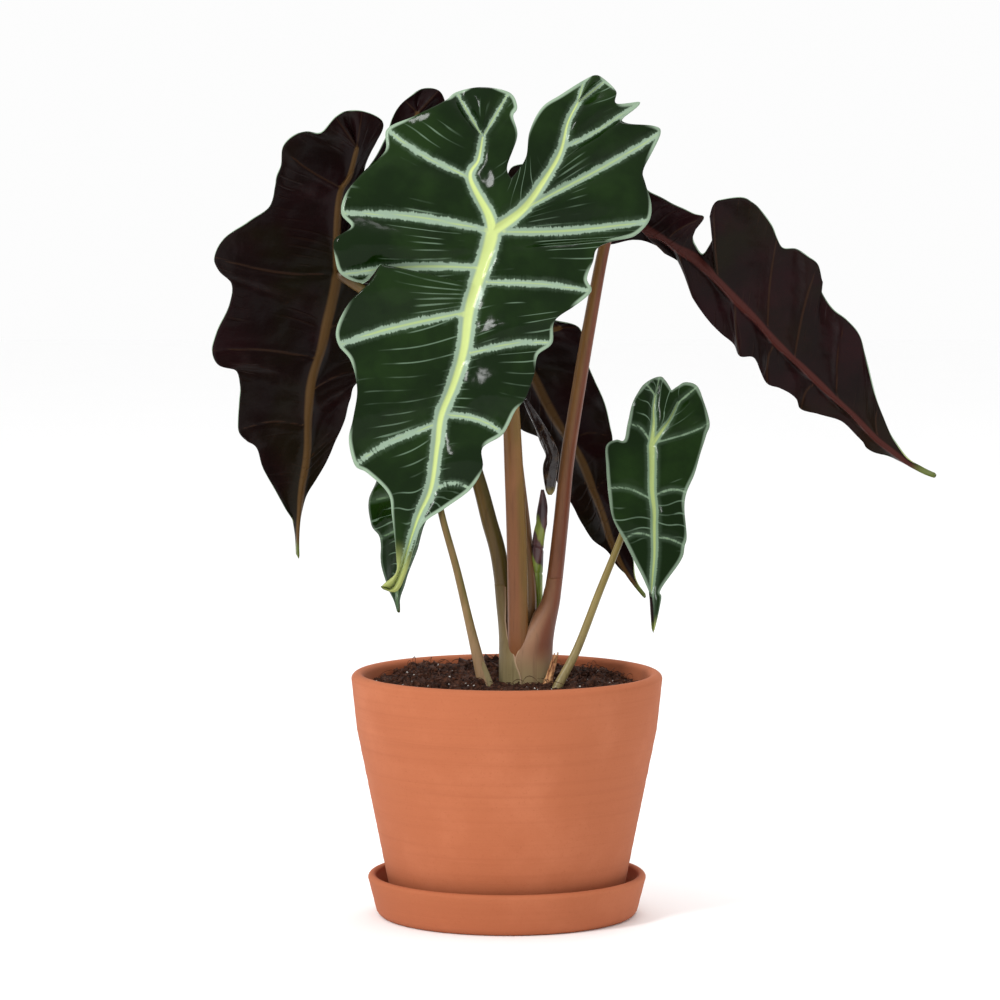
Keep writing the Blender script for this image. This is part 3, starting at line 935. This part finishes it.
# A route is rows of (x, y, z, radius), from the stem base up. The colours are for the bottom, the
# middle, the top and the +X side.
petioleLook = {
    "front": dict(
        route=[
            (6.4, -3, 112, 5), (6, -4.4, 128, 5), (5.5, -5.6, 142, 5.1), (5.4, -6, 165, 5.2),
            (4.6, -7, 197, 5), (3.4, -9, 225, 4.7), (2, -14, 255, 4.2), (0, -21, 290, 3.7),
            (-3, -28, 325, 3.2),
        ],
        low=(0.246, 0.095, 0.037), mid=(0.213, 0.076, 0.025),
        high=(0.156, 0.08, 0.014), right=(0.164, 0.087, 0.014),
    ),
    "left": dict(
        route=[
            (3, 5, 112, 4.4), (1.2, 6, 136, 4.3), (-3.6, 7, 177, 4.1), (-9, 9, 198, 4),
            (-15, 13, 220, 3.6), (-26, 18, 253, 3.1), (-41, 23, 280, 2.8), (-62, 28, 305, 2.5),
            (-78, 32, 316, 2.4),
        ],
        low=(0.148, 0.091, 0.028), mid=(0.115, 0.068, 0.016),
        high=(0.115, 0.065, 0.012), right=(0.082, 0.061, 0.011),
    ),
    "right": dict(
        route=[
            (16, -1, 112, 5.2), (17.4, -1, 136, 5), (20.2, 0, 150, 4.6), (23.7, 1, 168, 4.1),
            (27, 3.5, 197, 3.8), (29.8, 5.5, 225, 3.6), (33.4, 7.5, 249, 3.5), (41, 11, 294, 3.3),
            (49, 14, 336, 2.9),
        ],
        low=(0.221, 0.095, 0.046), mid=(0.18, 0.065, 0.027),
        high=(0.18, 0.087, 0.024), right=(0.156, 0.047, 0.022),
    ),
    "back": dict(
        route=[
            (9.5, 7, 112, 4.2), (9.8, 6.5, 136, 4.3), (10.9, 5.5, 158, 4), (9.9, 8, 178, 3.7),
            (8.9, 11, 191, 3.5), (5.3, 18.5, 223, 3.1), (3, 27, 247, 2.7), (4, 34, 267, 2.3),
        ],
        low=(0.213, 0.122, 0.043), mid=(0.156, 0.08, 0.022),
        high=(0.107, 0.068, 0.014), right=(0.164, 0.076, 0.028),
    ),
    "low_left": dict(
        route=[
            (-8.5, -15, 110, 4.2), (-11.5, -14, 119, 3.4), (-18, -10, 145, 2.3), (-25, -4, 174, 1.9),
            (-33, 2, 203, 1.7),
        ],
        low=(0.295, 0.182, 0.093), mid=(0.164, 0.103, 0.031),
        high=(0.131, 0.087, 0.019), right=(0.131, 0.103, 0.026),
    ),
    "low_right": dict(
        route=[
            (21.5, -22, 109, 2.9), (26, -20, 119, 2.4), (35, -16, 136, 2.1), (46, -12, 164, 1.9),
            (57, -8, 191, 1.7), (65, -7, 214, 1.5),
        ],
        low=(0.262, 0.205, 0.087), mid=(0.197, 0.144, 0.038),
        high=(0.164, 0.118, 0.026), right=(0.18, 0.133, 0.034),
    ),
}


def stemMaterial(name, look, ends=(118.0, 168.0, 288.0), edged=False):
    # low, mid and high colours by height above the floor, fading between the ends, and the right
    # colour where acrossStem is above 0, under streaks, a blush and small marks
    finish, tree, shader = newMaterial(name)
    height = heightOf(tree)
    lowEnd, midEnd, highEnd = ends
    colour = mixNode(tree, fadeNode(tree, height, lowEnd, midEnd), look["low"], look["mid"])
    colour = mixNode(tree, fadeNode(tree, height, midEnd, highEnd), colour, look["high"])
    onRight = fadeNode(tree, readAttribute(tree, "acrossStem"), -0.1, 0.5)
    aboveSoil = fadeNode(tree, height, lowEnd + 6, midEnd)
    colour = mixNode(tree, times(tree, onRight, aboveSoil), colour, look["right"])
    streaks = noiseNode(tree, objectPlace(tree, (520, 520, 18)), 1.0, 4.0, 0.65)
    blush = noiseNode(tree, objectPlace(tree, (60, 60, 22)), 1.0, 3.0, 0.5)
    marks = noiseNode(tree, objectPlace(tree, (300, 300, 900)), 1.0, 2.0, 0.5)
    darker = tuple(0.55 * c for c in look["mid"])
    paler = tuple(min(1.0, 1.35 * c) for c in look["low"])
    colour = stain(tree, colour, streaks, 0.48, 0.72, 0.5, darker)
    colour = stain(tree, colour, blush, 0.5, 0.75, 0.35, paler)
    colour = stain(tree, colour, marks, 0.66, 0.8, 0.25, darker)
    if edged:
        onEdge = oneMinus(tree, fadeNode(tree, readAttribute(tree, "edgeGap"), 0.25, 0.8))
        colour = mixNode(tree, times(tree, onEdge, 0.7), colour, crownLook["margin"])
    else:
        alongStem = readAttribute(tree, "alongStem")
        colour = stain(tree, colour, alongStem, 0.9, 0.98, 0.75, (0.05, 0.026, 0.012))
    coat(tree, shader, colour, 0.45 if edged else 0.36, 0.28, bumpNode(tree, streaks, 0.25, 0.0004))
    return finish


def sweptMesh(name, path, around, section):
    # a section carried along rows of (x, y, z, radius):
    # centre + radius * section(angle, share) * (side * cos + front * sin)
    centres, radii = path[:, :3], path[:, 3]
    steps = len(path)
    ahead = np.gradient(centres, axis=0)
    ahead /= np.linalg.norm(ahead, axis=1)[:, None]
    side = np.cross(np.array([0.0, 1.0, 0.0]), ahead)
    side /= np.linalg.norm(side, axis=1)[:, None]
    front = np.cross(ahead, side)
    angles = 2 * np.pi * np.arange(around) / around
    radius = radii[:, None] * section(angles[None, :], np.linspace(0, 1, steps)[:, None])
    outward = np.cos(angles)[None, :, None] * side[:, None] + np.sin(angles)[None, :, None] * front[:, None]
    points = centres[:, None] + radius[..., None] * outward
    start, end = (np.repeat(centre[None, None], around, 1) for centre in (centres[0], centres[-1]))
    points = np.concatenate([start, points, end])
    first, faces = weldGrid(points.reshape(-1, 3), gridFaces(len(points), around, True))
    mesh = makeMesh(name, points.reshape(-1, 3)[first], faces)
    setAttribute(mesh, "acrossStem", np.tile(np.cos(angles), len(points))[first])
    setAttribute(mesh, "alongStem", np.repeat(np.linspace(0, 1, len(points)), around)[first])
    return mesh


def leafEnd(leaf, depth):
    # a place straight behind the junction, depth below the blade's upper side
    facing = np.array(leaf["facing"]) / np.linalg.norm(leaf["facing"])
    return tuple(np.array(leaf["junction"]) - facing * depth)


def channelled(angles, along):
    # round, with a shallow flat on one side and faint ribs
    return 1 - 0.05 * np.exp(-((angles - 4.7) / 0.5) ** 2) + 0.008 * np.sin(9 * angles + 5 * along)


def makePetioles():
    # each ends behind its blade's junction, narrowing to 0.35 of its last radius
    for name, stem in petioleLook.items():
        last = stem["route"][-1][3]
        leaf = leafShapes[name]
        ends = [(*leafEnd(leaf, last + 1.6), last * 0.9), (*leafEnd(leaf, 2.6), last * 0.35)]
        path = evenCurve(stem["route"] + ends, 110)
        finish = stemMaterial(f"petiole_{name}", stem)
        mesh = sweptMesh(f"leaf_stalk_{name}", path, 28, channelled)
        addPiece(f"leaf_stalk_{name}", mesh, [finish], [f"petiole_{name}"])
    print("petioles made")


# The stem base, and the sheath on each side of it. A sheath's free edge is (x, height) points, its
# other end is an angle, and stem gives (x, y, radius) of its petiole at 136 mm and at its top.
crownLook = dict(
    centre=(9.4, 0.5), spread=(12.6, 10.9), foot=109.0, top=129.0, margin=(0.52, 0.34, 0.22),
    right=dict(
        edge=[(4.3, 131), (9.5, 142.5), (15.8, 157), (19.8, 166)], end=120, base=111.0, top=170.0,
        stem=[(18.2, -1, 5.6), (24.0, 1.1, 3.75)], join=(126.0, 160.0), lap=0.1,
        name="right_sheath", ends=(119.0, 138.0, 166.0), low=(0.27, 0.20, 0.10),
        mid=(0.30, 0.155, 0.085), high=(0.18, 0.065, 0.027), right=(0.17, 0.052, 0.024),
    ),
    left=dict(
        edge=[(4.3, 131), (0.9, 140), (-0.2, 148), (-0.6, 166)], end=-268, base=111.0, top=166.0,
        stem=[(1.2, 6.1, 4.6), (-2.2, 6.7, 3.75)], join=(124.0, 158.0), lap=0.55,
        name="left_sheath", ends=(119.0, 138.0, 160.0), low=(0.25, 0.20, 0.095),
        mid=(0.20, 0.14, 0.055), high=(0.115, 0.068, 0.016), right=(0.26, 0.155, 0.085),
    ),
)


def sheathPoints(sheath, rows=60, columns=48):
    # rows climb from the stem base to the petiole: the section is an arc of an ellipse that shrinks
    # and moves over to the petiole, and starts where the free edge is at that height
    z = np.linspace(sheath["base"], sheath["top"], rows)[:, None]
    u = np.linspace(0, 1, columns)[None, :]
    move = smoothStep(*sheath["join"], z)
    low, high = np.array(sheath["stem"], float)
    climb = np.clip((z - 136) / (sheath["top"] - 136), 0, 1)
    stem = low + (high - low) * climb
    centreX, centreY = (c + (stem[:, k:k + 1] - c) * move for k, c in enumerate(crownLook["centre"]))
    radiusX, radiusY = (s + 0.5 + (stem[:, 2:] - s - 0.5) * move for s in crownLook["spread"])
    edgeX, edgeZ = np.array(sheath["edge"]).T
    side = 1 if sheath["end"] > 0 else -1
    edge = np.interp(z, edgeZ, edgeX) - side * 3.0 * smoothStep(131, 119, z)
    start = -np.degrees(np.arccos(np.clip((edge - centreX) / radiusX, -0.98, 0.98)))
    angle = np.radians(start * (1 - u) + sheath["end"] * u)
    lap = sheath["lap"] * smoothStep(0.3, 0.0, u) * smoothStep(166, 150, z)
    x = centreX + (radiusX + lap) * np.cos(angle)
    y = centreY + (radiusY + lap) * np.sin(angle)
    edgeGap = radiusX * np.abs(angle - angle[:, :1])
    return np.stack([x, y, z + 0 * u], -1), np.cos(angle), edgeGap


def thicken(piece, amount, offset=0.0, inner=0):
    # makes a shell amount mm thick from a sheet; inner picks the material of its other side
    shell = piece.modifiers.new("thickness", "SOLIDIFY")
    shell.thickness = amount * mm
    shell.offset = offset
    shell.material_offset = inner
    shell.use_quality_normals = True


def outwards(points, faces, direction):
    # turns the faces of a sheet so that most of them look along direction
    a, b, d = points[faces[:, 0]], points[faces[:, 1]], points[faces[:, 2]]
    if np.einsum("nk,nk->", np.cross(b - a, d - a), np.broadcast_to(direction, a.shape)) < 0:
        flipped = faces.copy()
        rows = faces[:, 3] >= 0
        flipped[rows] = faces[rows][:, ::-1]
        flipped[~rows, :3] = faces[~rows][:, 2::-1]
        return flipped
    return faces


def oval(angles, along):
    # an ellipse with the stem base's two spreads, faintly ribbed
    flat = crownLook["spread"][1] / crownLook["spread"][0]
    return 1 / np.sqrt(np.cos(angles) ** 2 + (np.sin(angles) / flat) ** 2) * (1 + 0.02 * np.sin(7 * angles))


def makeStemFoot(finish):
    # a short oval post, wider at the soil
    levels = np.linspace(0, 1, 20)
    z = crownLook["foot"] + (crownLook["top"] - crownLook["foot"]) * levels
    width = crownLook["spread"][0] * (1 + 0.08 * smoothStep(118, 109, z)) * (1 - 0.12 * levels ** 6)
    x, y = (np.full(20, c) for c in crownLook["centre"])
    base = sweptMesh("stem_foot", np.column_stack([x, y, z, width]), 56, oval)
    addPiece("stem_foot", base, [finish], ["stem_base"])


def makeWing(finish):
    # the small pale wing at the foot of the low left petiole, narrowing by (1 - v) ** 0.6
    v = np.linspace(0, 1, 22)[:, None]
    u = np.linspace(-1, 1, 12)[None, :]
    width = 2.5 * (1 - v) ** 0.6 + 0.2
    x = -7.4 - 4.6 * v + u * width
    y = -18.0 + 2.6 * v + 1.6 * u ** 2 * (1 - v)
    z = 112 + 17.5 * v + 0 * u
    wing = np.stack([x, y, z], -1).reshape(-1, 3)
    faces = outwards(wing, gridFaces(22, 12, False), np.array([0, -1.0, 0]))
    mesh = makeMesh("sheath_wing", wing, faces)
    setAttribute(mesh, "edgeGap", np.full(len(wing), 9.0))
    thicken(addPiece("sheath_wing", mesh, [finish]), 0.6)


def makeCrown():
    # the stem foot, a sheath on each side of it and the wing
    finishes = {}
    for side in ("right", "left"):
        sheath = crownLook[side]
        finishes[side] = stemMaterial(sheath["name"], sheath, sheath["ends"], True)
    makeStemFoot(finishes["right"])
    for side in ("left", "right"):
        points, across, edgeGap = sheathPoints(crownLook[side])
        rows, columns, _ = points.shape
        middle = np.array([*crownLook["centre"], 0.0])
        flatPoints = points.reshape(-1, 3)
        faces = gridFaces(rows, columns, False)
        centre = flatPoints[faces].mean(axis=1)
        faces = outwards(flatPoints, faces, (centre - middle) * (1, 1, 0))
        mesh = makeMesh(f"leaf_sheath_{side}", flatPoints, faces)
        setAttribute(mesh, "acrossStem", across)
        setAttribute(mesh, "edgeGap", edgeGap)
        piece = addPiece(f"leaf_sheath_{side}", mesh, [finishes[side]], [f"sheath_{side}"])
        thicken(piece, 0.7)
    makeWing(finishes["left"])
    print("stem base made")


# Routes are rows of (x, y, z, radius).
stalkLook = dict(
    route=[
        (15.5, 9, 128, 1.8), (16, 10, 150, 1.8), (16, 10, 160, 2.1), (14.9, 9, 171, 3.1),
        (15.5, 6.5, 185, 3), (16.7, 4, 194, 2.9), (17.9, 2, 205, 2.5), (17.7, 1, 214, 0.8),
    ],
    purple=(0.030, 0.010, 0.014), purplePale=(0.11, 0.045, 0.045),
    green=(0.13, 0.20, 0.018), greenPale=(0.27, 0.34, 0.05),
    greenTop=(176.0, 179.0), bandLow=(189.0, 191.0), bandHigh=(196.0, 198.0),
)


def stalkMaterial():
    # green below and in one band, purple elsewhere, with edges that wander and slope by noise
    finish, tree, shader = newMaterial("flower_stalk")
    patches = noiseNode(tree, objectPlace(tree, (140, 140, 60)), 1.0, 3.0)
    wander = times(tree, mathNode(tree, "SUBTRACT", patches, 0.5), 14.0)
    side = times(tree, readAttribute(tree, "acrossStem"), 4.0)
    height = mathNode(tree, "ADD", heightOf(tree), mathNode(tree, "ADD", wander, side))
    green = oneMinus(tree, fadeNode(tree, height, *stalkLook["greenTop"]))
    band = oneMinus(tree, fadeNode(tree, height, *stalkLook["bandHigh"]))
    band = times(tree, fadeNode(tree, height, *stalkLook["bandLow"]), band)
    share = mathNode(tree, "MAXIMUM", green, times(tree, band, 0.8))
    purple = stain(tree, stalkLook["purple"], patches, 0.4, 0.65, 1.0, stalkLook["purplePale"])
    leafy = stain(tree, stalkLook["green"], patches, 0.35, 0.6, 1.0, stalkLook["greenPale"])
    coat(tree, shader, mixNode(tree, share, purple, leafy), 0.33, 0.5, bumpNode(tree, patches, 0.4, 0.001))
    return finish


def jointed(angles, along):
    # round, with two pinched rings, a bump on one side and three faint ridges that twist
    tilt = along + 0.012 * np.cos(angles)
    rings = np.exp(-((tilt - 0.505) / 0.006) ** 2) + np.exp(-((tilt - 0.655) / 0.006) ** 2)
    bump = 0.16 * np.exp(-((along - 0.80) / 0.03) ** 2) * np.cos(angles)
    return 1 - 0.14 * rings + 0.05 * np.sin(3 * angles + 14 * along) + bump


spatheLook = dict(
    route=[
        (21.4, -3, 211.8, 0.9), (21.6, -3, 215, 2.2), (21.7, -3, 225, 3), (22.3, -2, 232, 2.9),
        (18.8, -1, 241, 3.3), (14, 1, 250, 2.3), (9, 4, 259, 0.9),
    ],
    dark=(0.012, 0.006, 0.005), warm=(0.055, 0.03, 0.012), tip=(0.22, 0.17, 0.03),
)


def shrivelled(angles, along):
    # waves round and along the section
    twist = 0.12 * np.sin(5 * angles - 9 * along) * np.sin(3 * along)
    return 1 + 0.22 * np.sin(2 * angles + 7 * along) + twist


bractLook = dict(dark=(0.24, 0.085, 0.028), pale=(0.62, 0.33, 0.14), rows=40, columns=18)


def makeBract():
    # a sheet that narrows and curls as it climbs
    papery, tree, shader = newMaterial("dry_bract")
    streaks = noiseNode(tree, objectPlace(tree, (500, 500, 90)), 1.0, 4.0)
    colour = stain(tree, bractLook["dark"], streaks, 0.35, 0.7, 1.0, bractLook["pale"])
    coat(tree, shader, colour, 0.7, 0.5, bumpNode(tree, streaks, 0.8, 0.0008))
    rows, columns = bractLook["rows"], bractLook["columns"]
    v = np.linspace(0, 1, rows)[:, None]
    u = np.linspace(-1, 1, columns)[None, :]
    width = 3.6 * (1 - 0.75 * v) * (0.8 + 0.2 * np.cos(6 * v)) + 0.25
    flat = np.column_stack([(u + 0 * v).ravel() * 3, (v + 0 * u).ravel() * 9])
    curl = ripple(flat, 5, 31, 3).reshape(rows, columns)
    x = 19.6 + 5.0 * v ** 1.4 + u * width
    y = -13.4 + 2.2 * u ** 2 * (1 - 0.6 * v) + 1.1 * curl + 1.5 * v
    z = 112.5 + 20 * v + 1.6 * curl * v
    sheet = np.stack([x, y, z], -1).reshape(-1, 3)
    faces = outwards(sheet, gridFaces(rows, columns, False), np.array([0, -1.0, 0]))
    piece = addPiece("dry_bract", makeMesh("dry_bract", sheet, faces), [papery], ["dry_scale"])
    thicken(piece, 0.35)


def makeFlower():
    # the stalk, the black spathe at its end and the bract
    finish = stalkMaterial()
    stalk = sweptMesh("spent_flower_stalk", evenCurve(stalkLook["route"], 120), 26, jointed)
    addPiece("spent_flower_stalk", stalk, [finish], ["flower_stalk"])

    black, tree, shader = newMaterial("withered_flower")
    patches = noiseNode(tree, objectPlace(tree), 160.0, 4.0)
    colour = stain(tree, spatheLook["dark"], patches, 0.5, 0.72, 1.0, spatheLook["warm"])
    tip = oneMinus(tree, fadeNode(tree, heightOf(tree), 212.0, 217.0))
    colour = mixNode(tree, times(tree, tip, 0.7), colour, spatheLook["tip"])
    coat(tree, shader, colour, 0.2, 0.5, bumpNode(tree, patches, 0.6, 0.0015))
    spathe = sweptMesh("shrivelled_spathe", evenCurve(spatheLook["route"], 100), 30, shrivelled)
    addPiece("shrivelled_spathe", spathe, [black], ["withered_spathe"])
    makeBract()
    print("flower and bract made")


# The studio. Lamps are (place, aim, size, power) in metres and watts: one upper left in front, and a
# weaker one above. The floor is in millimetres, and downward is the camera's tilt in radians.
studioLook = dict(
    lamps=dict(
        key=((-1.2, -1.3, 1.5), (0, 0, 0.2), (0.4, 0.5), 25),
        top=((0.2, 0.6, 1.9), (0, 0, 0.25), (0.8, 0.8), 9),
    ),
    floor=6000.0, sky=0.98, lens=156.29, sensor=36.0, eye=(-0.00347, -2.1637, 0.3933), downward=0.085,
)


def areaLamp(name, place, aim, size, power):
    # a rectangular lamp at place that looks towards aim
    lamp = bpy.data.lights.new(name, "AREA")
    lamp.shape = "RECTANGLE"
    lamp.size, lamp.size_y = size
    lamp.energy = power
    holder = bpy.data.objects.new(name, lamp)
    bpy.context.scene.collection.objects.link(holder)
    holder.location = place
    holder.rotation_euler = (Vector(aim) - Vector(place)).to_track_quat("-Z", "Y").to_euler()


def makeStudio():
    # a pale floor, white surroundings, two lamps and the camera
    paint, tree, shader = newMaterial("studio_floor")
    grain = noiseNode(tree, objectPlace(tree), 4.0, 2.0)
    colour = mixNode(tree, grain, (0.985, 0.985, 0.985), (0.993, 0.993, 0.993))
    coat(tree, shader, colour, 0.9, 0.1)
    side = studioLook["floor"]
    corners = [(-side, -side, 0), (side, -side, 0), (side, side, 0), (-side, side, 0)]
    mesh = makeMesh("studio_floor", corners, [(0, 1, 2, 3)], False)
    floor = bpy.data.objects.new("studio_floor", mesh)
    mesh.materials.append(paint)
    bpy.context.scene.collection.objects.link(floor)

    world = bpy.data.worlds.new("studio")
    world.use_nodes = True
    sky = world.node_tree.nodes["Background"]
    sky.inputs["Color"].default_value = (1.0, 1.0, 1.0, 1.0)
    sky.inputs["Strength"].default_value = studioLook["sky"]
    bpy.context.scene.world = world
    for name, lamp in studioLook["lamps"].items():
        areaLamp(name, *lamp)

    lens = bpy.data.cameras.new("camera")
    lens.lens = studioLook["lens"]
    lens.sensor_width = studioLook["sensor"]
    view = bpy.data.objects.new("camera", lens)
    bpy.context.scene.collection.objects.link(view)
    view.location = studioLook["eye"]
    view.rotation_euler = (math.pi / 2 - studioLook["downward"], 0, 0)
    bpy.context.scene.camera = view
    bpy.context.scene.view_settings.view_transform = "Standard"
    print("studio ready")


makePot()
makeGround()
makeCrown()
makePetioles()
makeBlades()
makeFlower()
makeStudio()
